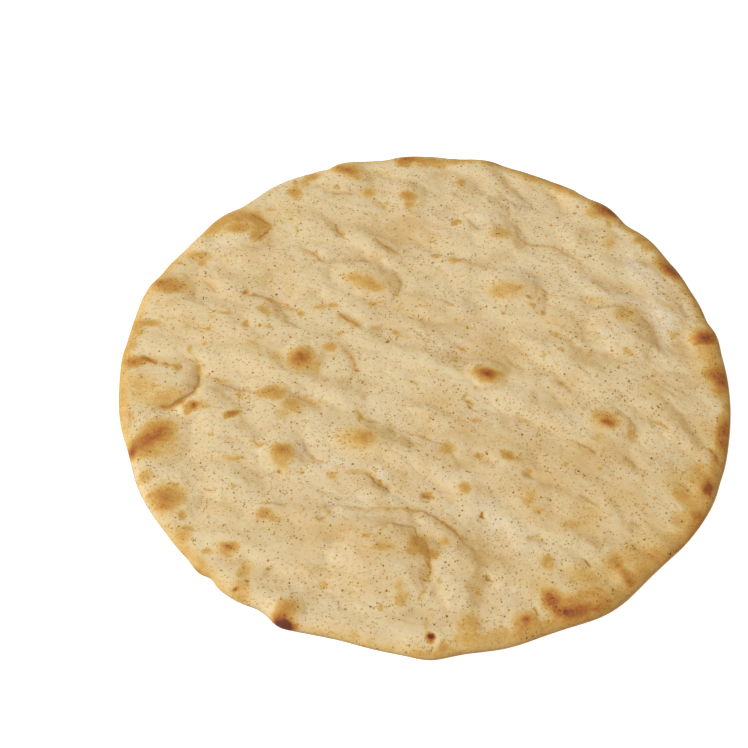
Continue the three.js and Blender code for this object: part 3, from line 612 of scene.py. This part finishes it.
# Browned cracks and blister edges, placed like the marks: strength, half width, corners
toastLines = [
    (0.53, 0.8, [(-55, 64), (-52.5, 62.6), (-50, 60.5), (-47.2, 58)]),
    (0.48, 0.8, [(-47.2, 58), (-48.5, 55.3), (-51.5, 52)]),
    (0.3, 0.8, [(-83.6, 33), (-82.3, 35), (-80, 36.3)]),
    (0.2, 0.7, [(-67.5, 36.6), (-64.7, 34.5), (-63, 31.6)]),
    (0.34, 0.6, [(-49, 29.4), (-45.5, 28), (-41, 26), (-37.5, 23.4)]),
    (0.2, 0.9, [(-68.5, 18.1), (-64.3, 16.6)]), (0.18, 0.8, [(-52.5, 13.2), (-48.5, 11)]),
    (0.18, 0.5, [(-87, 20.4), (-84, 21), (-78.5, 20.6)]),
    (0.62, 0.7, [(-84, 5.9), (-80.5, 5.2), (-78.5, 4.6)]),
    (0.27, 0.7, [(-78.5, 4.6), (-76, 4), (-73.5, 3), (-71.8, 1.4)]),
    (0.4, 0.6, [(-68.8, 8.2), (-67.6, 5.4), (-66.5, 3), (-65.9, 0), (-66.2, -3), (-67.1, -6), (-69.4, -8.3)]),
    (0.68, 0.8, [(-69.4, -8.3), (-71.5, -9.6), (-74, -11), (-77.5, -11.3)]),
    (0.3, 0.7, [(-65.2, 0), (-62, -1.3), (-57, -3.2)]),
    (0.25, 1.5, [(-87, -9), (-85.7, -14), (-85, -19)]),
    (0.27, 0.6, [(-50, -22.8), (-47.3, -25), (-44.6, -23.8)]),
    (0.3, 0.6, [(-62.6, -20.8), (-60.4, -21.1)]),
    (0.27, 0.5, [(-63, -39.5), (-60.5, -40.2), (-58.5, -40)]),
    (0.64, 0.5, [(-42, -34.8), (-41.7, -33.9), (-41, -34.2)]),
    (0.22, 0.5, [(-46.5, -43.8), (-43, -44.2)]),
    (0.28, 0.7, [(-8.6, 37), (-6.3, 34.5), (-7.6, 31.5), (-7, 29)]),
    (0.3, 0.7, [(-38.4, 49.3), (-34, 46.5), (-31.5, 44), (-29.8, 42.8)]),
    (0.16, 0.6, [(-29.8, 42.8), (-22, 43.2), (-18, 44.9), (-8, 44.6)]),
    (0.22, 0.9, [(-16, 53), (-10.8, 49.2), (-7.5, 46)]), (0.24, 0.6, [(-41, 26), (-37.5, 23.4)]),
    (0.51, 0.6, [(-25, 22.2), (-22, 20), (-20.3, 18.5), (-18.6, 17)]),
    (0.22, 0.7, [(-16, 26.2), (-13, 27.4), (-8, 28.6)]),
    (0.24, 0.8, [(-8.3, 15.9), (-6.5, 14.5), (-3, 14)]), (0.18, 0.7, [(-0.6, 19.8), (0.6, 22.6)]),
    (0.3, 0.7, [(-22.4, 9.5), (-21, 6), (-20.2, 2)]), (0.16, 0.6, [(-46, 52), (-51, 49)]),
    (0.13, 0.6, [(-62, 51), (-55, 47.4)]), (0.3, 0.5, [(-13.2, 68.8), (-11.5, 66.7), (-10, 68.2)]),
    (0.27, 0.5, [(-11.5, 66.7), (-11.6, 64.6)]), (0.3, 0.8, [(-27.2, 59), (-26, 55.5), (-23.2, 52.6)]),
    (0.18, 0.6, [(15, 59.6), (18.4, 55.6)]), (0.17, 0.6, [(10, 63), (19.5, 63.4)]),
    (0.16, 0.6, [(-29, 72.6), (-22, 72.2)]),
    (0.31, 1.1, [(27, 83.4), (36, 79.8), (44, 76.2), (50, 72.8), (54, 69.4)]),
    (0.18, 0.7, [(24.5, 73), (27, 69.5), (31, 66.3)]),
    (0.17, 0.9, [(30, 53), (33, 50.3), (41, 49.5), (46, 45.6), (50, 42)]),
    (0.28, 1.4, [(80.5, 33), (82.5, 29), (84.4, 24), (85.6, 20)]),
    (0.33, 0.6, [(59.5, 25.2), (62.3, 23.9), (64.2, 22.6)]),
    (0.14, 1.3, [(64.2, 22.6), (67, 19), (69, 14), (69.4, 9)]), (0.16, 0.5, [(54, 9), (56.4, 6.8)]),
    (0.19, 0.5, [(77.6, 17.8), (82, 16.2)]), (0.25, 0.7, [(17, 41.5), (21.2, 41.2)]),
    (0.26, 0.7, [(6.5, 27.6), (9.8, 25.3)]), (0.25, 0.7, [(23.6, 23.2), (25.6, 22.3)]),
    (0.26, 0.8, [(9, 10.6), (13.2, 8.3)]), (0.22, 0.7, [(25, 6.2), (26.5, 4), (29.2, 2.4)]),
    (0.2, 0.8, [(39, 15), (42, 13.4), (45, 11.9)]), (0.25, 0.7, [(26.5, -15.3), (31.5, -17.5)]),
    (0.32, 0.5, [(28.2, -33.8), (29.2, -35.5), (30.9, -36)]),
    (0.31, 0.6, [(41.8, -22.8), (46, -26), (49.3, -28.8)]), (0.22, 0.6, [(43, -42), (47.5, -44.8)]),
    (0.18, 1.3, [(40.3, -2.6), (43.6, -7.2)]), (0.29, 0.7, [(56.5, -29.8), (58.5, -32), (60, -32.7)]),
    (0.19, 0.7, [(60, -32.7), (63, -34)]), (0.32, 0.6, [(65.8, -16.1), (68, -17.4), (70.2, -19.7)]),
    (0.19, 0.7, [(69, -37), (73, -39), (76, -42)]),
    (0.51, 0.35, [(-44.3, -65), (-43.6, -66.2), (-42.6, -65)]),
    (0.22, 1, [(-24, -45.5), (-16, -46.5), (-8, -46), (-3, -47), (1, -49)]),
    (0.32, 0.6, [(1, -49), (4, -50.5), (7.5, -53.6), (10, -56.5), (11.1, -59.4)]),
    (0.51, 0.8, [(3.6, -50), (4.4, -50.8)]),
    (0.19, 0.8, [(-17.5, -54.5), (-13, -53), (-11, -51.1), (-7, -51), (-4.5, -52.5)]),
    (0.48, 0.6, [(-0.6, -61), (0, -64), (0.3, -67), (-0.3, -70)]),
    (0.24, 0.7, [(-0.3, -70), (-1.5, -72), (-2.8, -75.4)]),
    (0.32, 0.6, [(-31.6, -48.7), (-29.5, -49.8), (-28, -49)]), (0.24, 0.5, [(-28, -49), (-26.8, -46)]),
    (0.53, 0.3, [(15.1, -46.9), (15.3, -49.2), (16.5, -49.6)]),
    (0.51, 0.4, [(15.7, -66.4), (15.9, -68.6), (17.2, -70)]), (0.25, 0.6, [(28, -54.7), (31.8, -56.7)]),
    (0.54, 0.35, [(42.6, -62), (43.4, -64), (44.3, -65.5)]), (0.8, 0.4, [(51.1, -62.1), (52.4, -62.4)]),
    (0.62, 0.3, [(28.2, -77.3), (29, -80)]), (0.28, 0.5, [(-33.6, -26.6), (-31.7, -29.8), (-28, -30.6)]),
    (0.14, 0.5, [(-28, -30.6), (-24.5, -32), (-22.5, -34.4), (-17, -35)]),
    (0.42, 0.45, [(-17, -34.9), (-14.7, -36.2), (-12.5, -38.6)]),
    (0.25, 0.5, [(-14.7, -36.2), (-14, -32.8)]), (0.24, 0.6, [(-12.5, -38.6), (-10, -41.2)]),
    (0.3, 0.8, [(-19.8, -12), (-18.8, -15.4), (-17, -16.4)]), (0.28, 0.5, [(-17, -16.4), (-13, -17)]),
    (0.25, 1, [(-36, -8), (-33, -10.4), (-29.6, -12.2)]),
    (0.5, 0.6, [(-1.4, -41.2), (0.6, -42.5), (2, -43.1)]),
    (0.22, 0.6, [(-3.6, -20.8), (-1, -22.3), (1.6, -22.4)]),
    (0.24, 0.8, [(-5.5, -2), (-3, -2.6), (-1.4, -4)]), (0.48, 0.35, [(-35.6, -34.3), (-34, -33.8)]),
    (0.2, 0.6, [(56.2, -49.4), (58, -51.2), (60, -51.6)]),
    (0.13, 1.3, [(-69.6, 7), (-68.2, 3), (-67.8, 0), (-68.3, -4), (-70, -7.5)]),
    (0.55, 0.8, [(80.3, -25.6), (82.7, -28.6), (83.9, -30.9), (82.9, -34.3)]),
]

# Browning of the rim: direction in degrees, half width in degrees, strength, how far it reaches in
rimToast = [
    (-34, 12, 0.5, 3.4), (-60, 9, 0.34, 3.5), (-14, 12, 0.45, 2.5), (12, 9, 0.36, 2.6), (26, 12, 0.42, 3),
    (42, 8, 0.4, 3), (62, 12, 0.42, 3.5), (80, 10, 0.36, 2.5), (98, 8, 0.3, 2), (-84, 8, 0.24, 3.5),
    (-71, 8, 0.27, 3.5), (178, 14, 0.34, 3), (155, 10, 0.28, 2.6), (134, 6, 0.25, 3), (-136, 9, 0.24, 3),
    (-100, 14, 0.2, 2),
]

# Pale places, partly flour and partly painted highlight where bumps and slopes face the light, placed like
# the marks: x, y, half length, half width, turn, strength
paleMarks = [
    # far side, left of the middle
    # (-56.5, 22.5) is a small painted highlight
    (-24, 76, 4, 2.4, 0, 0.5), (-56.5, 22.5, 1, 2, 0, 0.9), (-20.5, 21.6, 1.3, 1.6, 0, 0.9),
    (-60, 51.5, 6, 1.6, 30, 0.5), (-15, 63, 10, 6, 0, 0.45), (-72.5, 0.5, 3, 5, 0, 0.35),
    # far side, right of the middle
    # (56, 15) and (55, 9.3) are painted highlights on lit bumps; (70, 34), (72, 30), (72, 22), (75, 22) and
    # (80, 24) paint light on the slope by the right rim
    (70, 34, 5, 15, 28, 0.8), (17.5, 58, 2, 1.8, 0, 0.7), (56, 15, 5, 3.5, 0, 1),
    (55, 9.3, 1.5, 1.2, 0, 1), (65, 37, 4, 2, -30, 0.7), (34, 38, 8, 4, -30, 0.6),
    (45, 39, 9, 5, -20, 0.4), (10, 62, 14, 5, 0, 0.3), (31, 67, 6, 4, 0, 0.4), (60, 30, 12, 4, -10, 0.5),
    (75, 22, 6, 4, -20, 0.4), (16, 76, 2.4, 2, 0, 0.7), (66, 42, 6, 4, -30, 0.6), (80, 24, 4, 5, 0, 0.35),
    (72, 30, 4, 8, 28, 0.8), (15, 24, 9, 6, -20, 0.25), (72, 22, 5, 9, 10, 1.2), (73, 10, 3, 4, 0, 0.8),
    (65, 28, 5, 4, -30, 0.7), (6, 12, 9, 5, -20, 0.4), (27, 60, 8, 4, -10, 0.3),
    # near side, left of the middle
    (-31, -27, 6, 7, 30, 0.7), (-78, -14.5, 5, 2.4, 10, 0.9), (-30, -8, 6, 5, 0, 0.3),
    (-13.5, -35, 3, 3.5, 0, 0.8), (-26, -30, 4, 3, 0, 0.6), (-17, -72, 5, 8, 0, 0.4),
    (-80, -13, 5, 2.8, 10, 0.55), (-35, -72, 5, 4, 0, 0.25), (-15, -13, 8, 6, 0, 0.3),
    (-18, -44, 12, 5, 0, 0.5), (-24, -60, 8, 5, 0, 0.3), (-24, -75, 6, 5, 0, 0.3),
    (-8, -33, 6, 4, 0, 0.3),
    # near side, right of the middle
    (19, -50, 8, 5, -30, 0.9), (18.5, -50.5, 1.6, 2.6, 0, 1), (40, -17, 6, 5, 0, 0.3),
    (25, -75, 5, 5, 0, 0.4), (45, -65, 3, 4, 0, 0.5), (12, -52, 3, 4, 0, 0.5), (17, -45, 5, 3, 0, 0.6),
    (25, -57, 5, 4, -40, 0.3), (8, -44, 5, 3, -20, 0.5), (14, -11, 9, 6, -20, 0.35),
    (2, -36, 7, 5, -20, 0.35), (79.5, -22, 3, 5, -15, 0.4), (70, -31, 4, 3, -30, 0.45),
    (5.5, -62, 4, 7, 0, 0.3), (0, -19, 9, 4, -10, 0.25),
]


grainStretch = 1.9  # how much longer than wide the uneven places in the baking are
toastWander = [(6, 0.4), (2.8, 0.7), (1.3, 0.35)]
toastSoftness = 1.0  # a mark is down to a third of its strength at this share of its size
toastSharpness = 4  # how nearly overlapping marks keep to the stronger one
pitWander = [(1.4, 0.7)]


def ovalField(x, y, marks, softness):
    # Strength of the marks at each place, fading outwards
    field = np.zeros(x.shape)
    for middleX, middleY, halfLong, halfWide, turn, strength in marks:
        far = 2 * max(halfLong, halfWide)
        near = (abs(x - middleX) < far) & (abs(y - middleY) < far)
        reach = ovalReach(x[near], y[near], middleX, middleY, halfLong, halfWide, turn)
        field[near] += (strength * np.exp(-(reach / softness) ** (1.9 + 0.9 * strength))) ** toastSharpness
    return field


def lineField(x, y, lines):
    field = np.zeros(x.shape)
    for strength, half, corners in lines:
        middleX, middleY = np.mean(corners, axis=0)
        far = 3 * half + max(math.dist(corner, (middleX, middleY)) for corner in corners)
        near = (abs(x - middleX) < far) & (abs(y - middleY) < far)
        away, fading = lineReach(x[near], y[near], corners)
        profile = 0.5 * np.exp(-(away / (0.7 * half)) ** 2) + 0.4 * np.exp(-(away / (1.8 * half)) ** 2)
        come = 0.7 + 0.5 * smoothBetween(-0.3, 0.3, grainNoise(x[near], y[near], 1.6, 1, 83.1))
        field[near] += (strength * fading * profile * come) ** toastSharpness
    return field


def rimField(angle, fromEdge):
    field = np.zeros(angle.shape)
    for towards, spread, strength, reach in rimToast:
        away = (np.degrees(angle) - towards + 180) % 360 - 180
        band = np.exp(-0.5 * (away / spread) ** 2) * (1 - smoothBetween(-0.2 * reach, 1.9 * reach, fromEdge))
        field += (strength * band) ** toastSharpness
    return field


def paintBread(mesh, x, y, z, angle, fromEdge, isUnder):
    along, across = alongGrain(x, y)
    setAttribute(mesh, "along", along * mm / grainStretch)
    setAttribute(mesh, "across", across * mm)
    creaseX, creaseY = unsteady(x, y, creaseWander)
    setAttribute(mesh, "fold", np.where(isUnder, 0, creaseField(creaseX, creaseY)))
    side, strength = crispLines(creaseX, creaseY, creases)
    setAttribute(mesh, "creaseSide", side)
    setAttribute(mesh, "crease", np.where(isUnder, 0, strength))
    wave, strength = hairWrinkles(creaseX, creaseY)
    setAttribute(mesh, "hairSide", wave)
    setAttribute(mesh, "hair", np.where(isUnder, 0, strength))
    seenY = y + (z - bread["crumbThickness"]) / math.tan(math.radians(view["elevation"]))
    bentX, bentY = unsteady(x, seenY, toastWander)
    upper = ovalField(bentX, bentY, toastMarks, toastSoftness) + lineField(bentX, bentY, toastLines)
    upper += rimField(angle, fromEdge + bentX - x + bentY - seenY)
    undersideMarks = scatterOvals(
        underneath["marks"], underneath["seed"] + 1, underneath["markReach"], *underneath["markSizes"])
    lower = ovalField(bentX, bentY, undersideMarks, toastSoftness)
    toast = np.where(isUnder, lower, upper) ** (1 / toastSharpness)
    setAttribute(mesh, "toast", toast * np.where(isUnder, 0.75, 1))
    side, strength = crispLines(bentX, bentY, toastLines)
    strength *= 1 - smoothBetween(0.1, 0.35, creaseField(creaseX, creaseY))  # a crease draws its own line
    setAttribute(mesh, "crackSide", side)
    setAttribute(mesh, "crack", np.where(isUnder, 0, strength))
    pale = ovalField(bentX, bentY, paleMarks, toastSoftness) ** (1 / toastSharpness)
    setAttribute(mesh, "pale", np.where(isUnder, 0, pale))
    pitX, pitY = unsteady(x, seenY, pitWander)
    # strength of the painted shade in the pits
    pit = 2.2 * ovalField(pitX, pitY, pits, 1) ** (1 / toastSharpness)
    setAttribute(mesh, "pit", np.where(isUnder, 0, pit))
    print("toasting:", len(toastMarks), "marks,", len(toastLines), "cracks,", len(paleMarks), "pale places")


lightLevel = 1.2  # how much the studio brightens a surface that faces up


def seen(red, green, blue):
    # The finish that shows as this screen colour, 0 to 255, under the studio's light
    light = [((value / 255 + 0.055) / 1.055) ** 2.4 / lightLevel for value in (red, green, blue)]
    return (*light, 1)


class Amount:
    # A socket that can be used in sums
    def __init__(self, finish, socket):
        self.finish = finish
        self.socket = socket

    def maths(self, operation, first, second):
        return self.finish.node("ShaderNodeMath", {"operation": operation}, {0: first, 1: second})

    def __add__(self, other):
        return self.maths("ADD", self, other)

    def __sub__(self, other):
        return self.maths("SUBTRACT", self, other)

    def __rsub__(self, other):
        return self.maths("SUBTRACT", other, self)

    def __mul__(self, other):
        return self.maths("MULTIPLY", self, other)

    def __abs__(self):
        return self.maths("ABSOLUTE", self, 0)

    __radd__ = __add__
    __rmul__ = __mul__


class Finish:
    def __init__(self, name):
        self.material = bpy.data.materials.new(name)
        self.material.use_nodes = True
        self.nodes = self.material.node_tree.nodes
        self.links = self.material.node_tree.links
        self.shader = self.nodes["Principled BSDF"]

    def join(self, value, socket):
        if isinstance(value, Amount):
            self.links.new(value.socket, socket)
        else:
            socket.default_value = value

    def node(self, kind, settings, inputs, output=0):
        made = self.nodes.new(kind)
        for name, value in settings.items():
            if name == "stops":
                self.setStops(made.color_ramp.elements, value)
            else:
                setattr(made, name, value)
        for name, value in inputs.items():
            self.join(value, made.inputs[name])
        return Amount(self, made.outputs[output])

    def setStops(self, elements, stops):
        while len(elements) < len(stops):
            elements.new(1)
        for element, (place, colour) in zip(elements, stops):
            element.position = place
            element.color = colour

    def set(self, **values):
        for name, value in values.items():
            self.join(value, self.shader.inputs[name.replace("_", " ")])

    def attribute(self, name):
        return self.node("ShaderNodeAttribute", {"attribute_name": name}, {}, "Fac")

    def speckle(self, place, size, detail, rough=0.5):
        return self.node("ShaderNodeTexNoise", {}, {
            "Vector": place, "Scale": 1 / (size * mm), "Detail": detail, "Roughness": rough})

    def step(self, value, low, high):
        return self.node("ShaderNodeMapRange", {"interpolation_type": "SMOOTHSTEP"}, {
            "Value": value, "From Min": low, "From Max": high})

    def crispLine(self, name, width, unevenness):
        # 1 where the distance passes through 0 and the line is at full strength
        side = abs(self.attribute(name + "Side") + unevenness)
        return self.step(side, width, 0) * self.attribute(name)

    def blend(self, factor, first, second):
        return self.node("ShaderNodeMix", {"data_type": "RGBA"}, {0: factor, 6: first, 7: second}, 2)


crustColours = {
    "cream": seen(216, 195, 153),
    "warm": seen(205, 173, 118),
    "hollowShade": seen(194, 157, 98),  # painted shade in hollows
    "lee": seen(203, 162, 92),  # painted shade on slopes turned away from the key light
    "raised": seen(216, 199, 160),
    "pale": seen(219, 203, 173),
    "shade": seen(180, 146, 86),
    "low": seen(168, 139, 97),  # painted shade, low on the rim and underneath, near the floor
    # partly browning, partly painted shade along creases
    "crease": seen(166, 118, 58),
    "crack": seen(150, 98, 44),
    # painted shade in the pits
    "pit": seen(120, 84, 40),
    "toast": [
        (0.0, seen(214, 188, 138)), (0.14, seen(209, 177, 114)), (0.3, seen(198, 157, 86)),
        (0.46, seen(188, 139, 67)), (0.6, seen(178, 119, 53)), (0.75, seen(161, 97, 44)),
        (0.9, seen(132, 69, 40)), (1.0, seen(104, 54, 37)),
    ],
    "bran": seen(158, 117, 46),
    "branDark": seen(116, 81, 18),
    "branHalo": seen(193, 156, 90),
}

# Bran in the dough: distance between places in mm, smallest and largest speck radius, share filled, strength
branSizes = [(0.85, 0.15, 0.36, 0.085, 1.0), (0.62, 0.12, 0.26, 0.115, 0.95), (0.46, 0.1, 0.2, 0.13, 0.8)]
branWobble = {"size": 0.45, "reach": 0.6}  # makes the specks ragged


def addBran(finish, place, grain, colour, plain):
    crowd = finish.speckle(grain, 7, 3) * 2.6 - 0.3
    wobble = finish.node("ShaderNodeTexNoise", {}, {
        "Vector": place, "Scale": 1 / (branWobble["size"] * mm), "Detail": 1}, "Color")
    wobble = finish.node("ShaderNodeVectorMath", {"operation": "SCALE"}, {
        0: wobble, "Scale": branWobble["reach"] * mm})
    bent = finish.node("ShaderNodeVectorMath", {"operation": "ADD"}, {0: place, 1: wobble})
    for layer, (apart, smallest, largest, filled, strength) in enumerate(branSizes):
        layerShift = 0.13 * layer, 0.07 * layer, 0
        moved = finish.node("ShaderNodeVectorMath", {"operation": "ADD"}, {0: bent, 1: layerShift})
        settings = {"feature": "F1"}
        inputs = {"Vector": moved, "Scale": 1 / (apart * mm), "Randomness": 1}
        cell = finish.node("ShaderNodeTexVoronoi", settings, inputs, "Color")
        away = finish.node("ShaderNodeTexVoronoi", settings, inputs, "Distance") * apart
        draw = finish.node("ShaderNodeSeparateColor", {}, {"Color": cell}, 0)
        tone = finish.node("ShaderNodeSeparateColor", {}, {"Color": cell}, 1)
        growth = finish.node("ShaderNodeSeparateColor", {}, {"Color": cell}, 2)
        size = growth * (largest - smallest) + smallest
        here = finish.step(crowd * filled - draw, 0, 0.005) * plain
        halo = finish.step(size - away, -0.3, 0.1) * here
        speck = finish.step(size - away, -0.045, 0.075) * here
        colour = finish.blend(halo * strength * 0.55, colour, crustColours["branHalo"])
        colourHere = finish.blend(tone, crustColours["bran"], crustColours["branDark"])
        colour = finish.blend(speck * (tone * 0.4 + 0.6) * strength, colour, colourHere)
    return colour


def bakedCrust():
    finish = Finish("bakedCrust")
    place = finish.node("ShaderNodeTexCoord", {}, {}, "Object")
    toastHere = finish.attribute("toast")
    fold = finish.attribute("fold")
    pale = finish.attribute("pale")
    pit = finish.attribute("pit")
    hollow = finish.attribute("hollow")
    lee = finish.attribute("lee")
    height = finish.node("ShaderNodeSeparateXYZ", {}, {0: place}, 2)
    along, across = finish.attribute("along"), finish.attribute("across")
    grain = finish.node("ShaderNodeCombineXYZ", {}, {0: along, 1: across, 2: height})
    broad = finish.speckle(grain, 18, 3)
    patch = finish.speckle(grain, 3.8, 4, 0.6)
    fine = finish.speckle(place, 1.1, 4, 0.65)
    grains = finish.speckle(place, 0.55, 2, 0.6)
    warmth = finish.step(broad - (patch - 0.5) * 0.4, 0.44, 0.82)
    colour = finish.blend(warmth, crustColours["cream"], crustColours["warm"])
    # painted shade: hollows and the low parts of the patch noise darker and warmer; crests paler
    sunk = hollow - (patch - 0.5) * 0.25
    colour = finish.blend(finish.step(sunk, -0.03, 0.28) * 0.42, colour, crustColours["hollowShade"])
    colour = finish.blend(finish.step(sunk, -0.03, -0.24) * 0.35, colour, crustColours["raised"])
    # painted shade on slopes turned away from the key light
    colour = finish.blend(finish.step(lee, 0.01, 0.28) * 0.55, colour, crustColours["lee"])
    # partly floury pale, partly painted highlight on lit bumps and slopes
    colour = finish.blend(pale * finish.step(patch, 0.3, 0.6), colour, crustColours["pale"])
    colour = finish.blend(finish.step(fine, 0.52, 0.28) * 0.22, colour, crustColours["shade"])
    # painted shade, darker towards the floor on the lower rim and the underside
    colour = finish.blend(finish.step(height, 4.6 * mm, mm) * 0.7, colour, crustColours["low"])
    unevenness = (patch - 0.5) * 0.32 + (fine - 0.5) * 0.34 + (grains - 0.5) * 0.25
    crowd = finish.step(finish.speckle(grain, 6, 3, 0.6), 0.42, 0.6)
    freckles = finish.step(finish.speckle(place, 0.95, 3, 0.7), 0.56, 0.68) * crowd * 0.34
    toast = toastHere + unevenness * finish.step(toastHere, 0, 0.35) + freckles
    browned = finish.node("ShaderNodeValToRGB", {"stops": crustColours["toast"]}, {"Fac": toast}, "Color")
    colour = finish.blend(finish.step(toast, 0.01, 0.22), colour, browned)
    # partly browning, partly painted shade: a soft brown tint along the creases
    folded = finish.step(fold + (fine - 0.5) * 0.3, 0.1, 1)
    colour = finish.blend(folded * 0.4, colour, crustColours["crease"])
    comes = finish.step(patch + (broad - 0.5) * 0.8, 0.3, 0.66) * 0.85 + 0.15
    crease = finish.crispLine("crease", 0.55, (patch - 0.5) * 1.8 + (fine - 0.5) * 0.9) * comes
    hair = finish.crispLine("hair", 0.045, (patch - 0.5) * 0.12 + (fine - 0.5) * 0.08) * comes
    crack = finish.crispLine("crack", 0.45, (patch - 0.5) * 0.9 + (fine - 0.5) * 0.9)
    # partly browning, partly painted shade: dark lines in the bottoms of creases and fine wrinkles
    colour = finish.blend(crease * 0.65 + hair * 0.16, colour, crustColours["crack"])
    colour = finish.blend(finish.step(crack, 0, 0.6) * 0.75, colour, crustColours["crack"])
    # painted shade in the pits
    colour = finish.blend(finish.step(pit, 0.35, 1) * 0.25, colour, crustColours["pit"])
    colour = addBran(finish, place, grain, colour, 1 - finish.step(toast, 0.45, 0.8))
    roughness = 0.85 - 0.2 * finish.step(toast, 0.3, 0.8)
    finish.set(Base_Color=colour, Roughness=roughness, Specular_IOR_Level=0.15)
    bumps = patch * 0.58 + fine * 0.26 + grains * 0.05 - crease * 0.3 - crack * 0.2 - hair * 0.06
    relief = {"Strength": 0.7, "Distance": 0.5 * mm, "Height": bumps}
    finish.set(Normal=finish.node("ShaderNodeBump", {}, relief, "Normal"))
    finish.set(Subsurface_Weight=0.5, Subsurface_Radius=(1, 0.5, 0.2), Subsurface_Scale=2.5 * mm)
    print("finish: baked crust")
    return finish.material


studio = {
    "floorSize": 14,
    "floorColour": (0.4, 0.4, 0.4, 1),
    "floorGlow": 0.9,  # keeps the paper white in the shade of the bread
    "worldStrength": 0.42,
    "worldColour": (1, 0.91, 0.79, 1),  # warm, for light that has passed through the crumb tints the shade
    "keyColour": (0.965, 1.01, 1.08),
    "keyFrom": (-2.2, -0.4, 1.95),
    "keySize": 1.5,
    "keyPower": 116,
    "fillFrom": (1.7, -1.5, 0.75),
    "fillSize": 1.6,
    "fillPower": 16,
}


def addLight(name, place, size, power, colour=(1, 1, 1)):
    lamp = bpy.data.lights.new(name, "AREA")
    lamp.shape = "DISK"
    lamp.size = size
    lamp.energy = power
    lamp.color = colour
    light = bpy.data.objects.new(name, lamp)
    light.location = place
    light.rotation_euler = (-Vector(place)).to_track_quat("-Z", "Y").to_euler()
    bpy.context.scene.collection.objects.link(light)


def addStudio():
    world = bpy.data.worlds.new("softRoom")
    world.use_nodes = True
    world.node_tree.nodes["Background"].inputs["Color"].default_value = studio["worldColour"]
    world.node_tree.nodes["Background"].inputs["Strength"].default_value = studio["worldStrength"]
    bpy.context.scene.world = world
    addLight("keyLight", studio["keyFrom"], studio["keySize"], studio["keyPower"], studio["keyColour"])
    addLight("fillLight", studio["fillFrom"], studio["fillSize"], studio["fillPower"])
    board = bmesh.new()
    bmesh.ops.create_grid(board, x_segments=4, y_segments=4, size=studio["floorSize"] / 2)
    mesh = bpy.data.meshes.new("floor")
    board.to_mesh(mesh)
    board.free()
    floor = bpy.data.objects.new("floor", mesh)
    bpy.context.scene.collection.objects.link(floor)
    paper = Finish("paleFloor")
    paper.set(Base_Color=studio["floorColour"], Roughness=0.9, Specular_IOR_Level=0.1)
    paper.set(Emission_Color=(1, 1, 1, 1), Emission_Strength=studio["floorGlow"])
    mesh.materials.append(paper.material)
    floor.visible_diffuse = False  # the paper doesn't light the rim from below
    print("studio: floor and two soft lights")


def addCamera():
    lens = bpy.data.cameras.new("camera")
    lens.lens = view["lens"]
    lens.sensor_width = 36
    lens.clip_start = 0.01
    camera = bpy.data.objects.new("camera", lens)
    tilt = math.radians(view["elevation"])
    aim = Vector((view["aim"][0] * mm + planShift[0], view["aim"][1] * mm + planShift[1], 0))
    camera.location = aim + view["distance"] * Vector((0, -math.cos(tilt), math.sin(tilt)))
    camera.rotation_euler = (math.pi / 2 - tilt, 0, 0)
    bpy.context.scene.collection.objects.link(camera)
    bpy.context.scene.camera = camera


bpy.context.scene.view_settings.view_transform = "Standard"
pita = makeBread()
pita.data.materials.append(bakedCrust())
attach(pita, "root")
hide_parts("pita_bread")
addStudio()
addCamera()
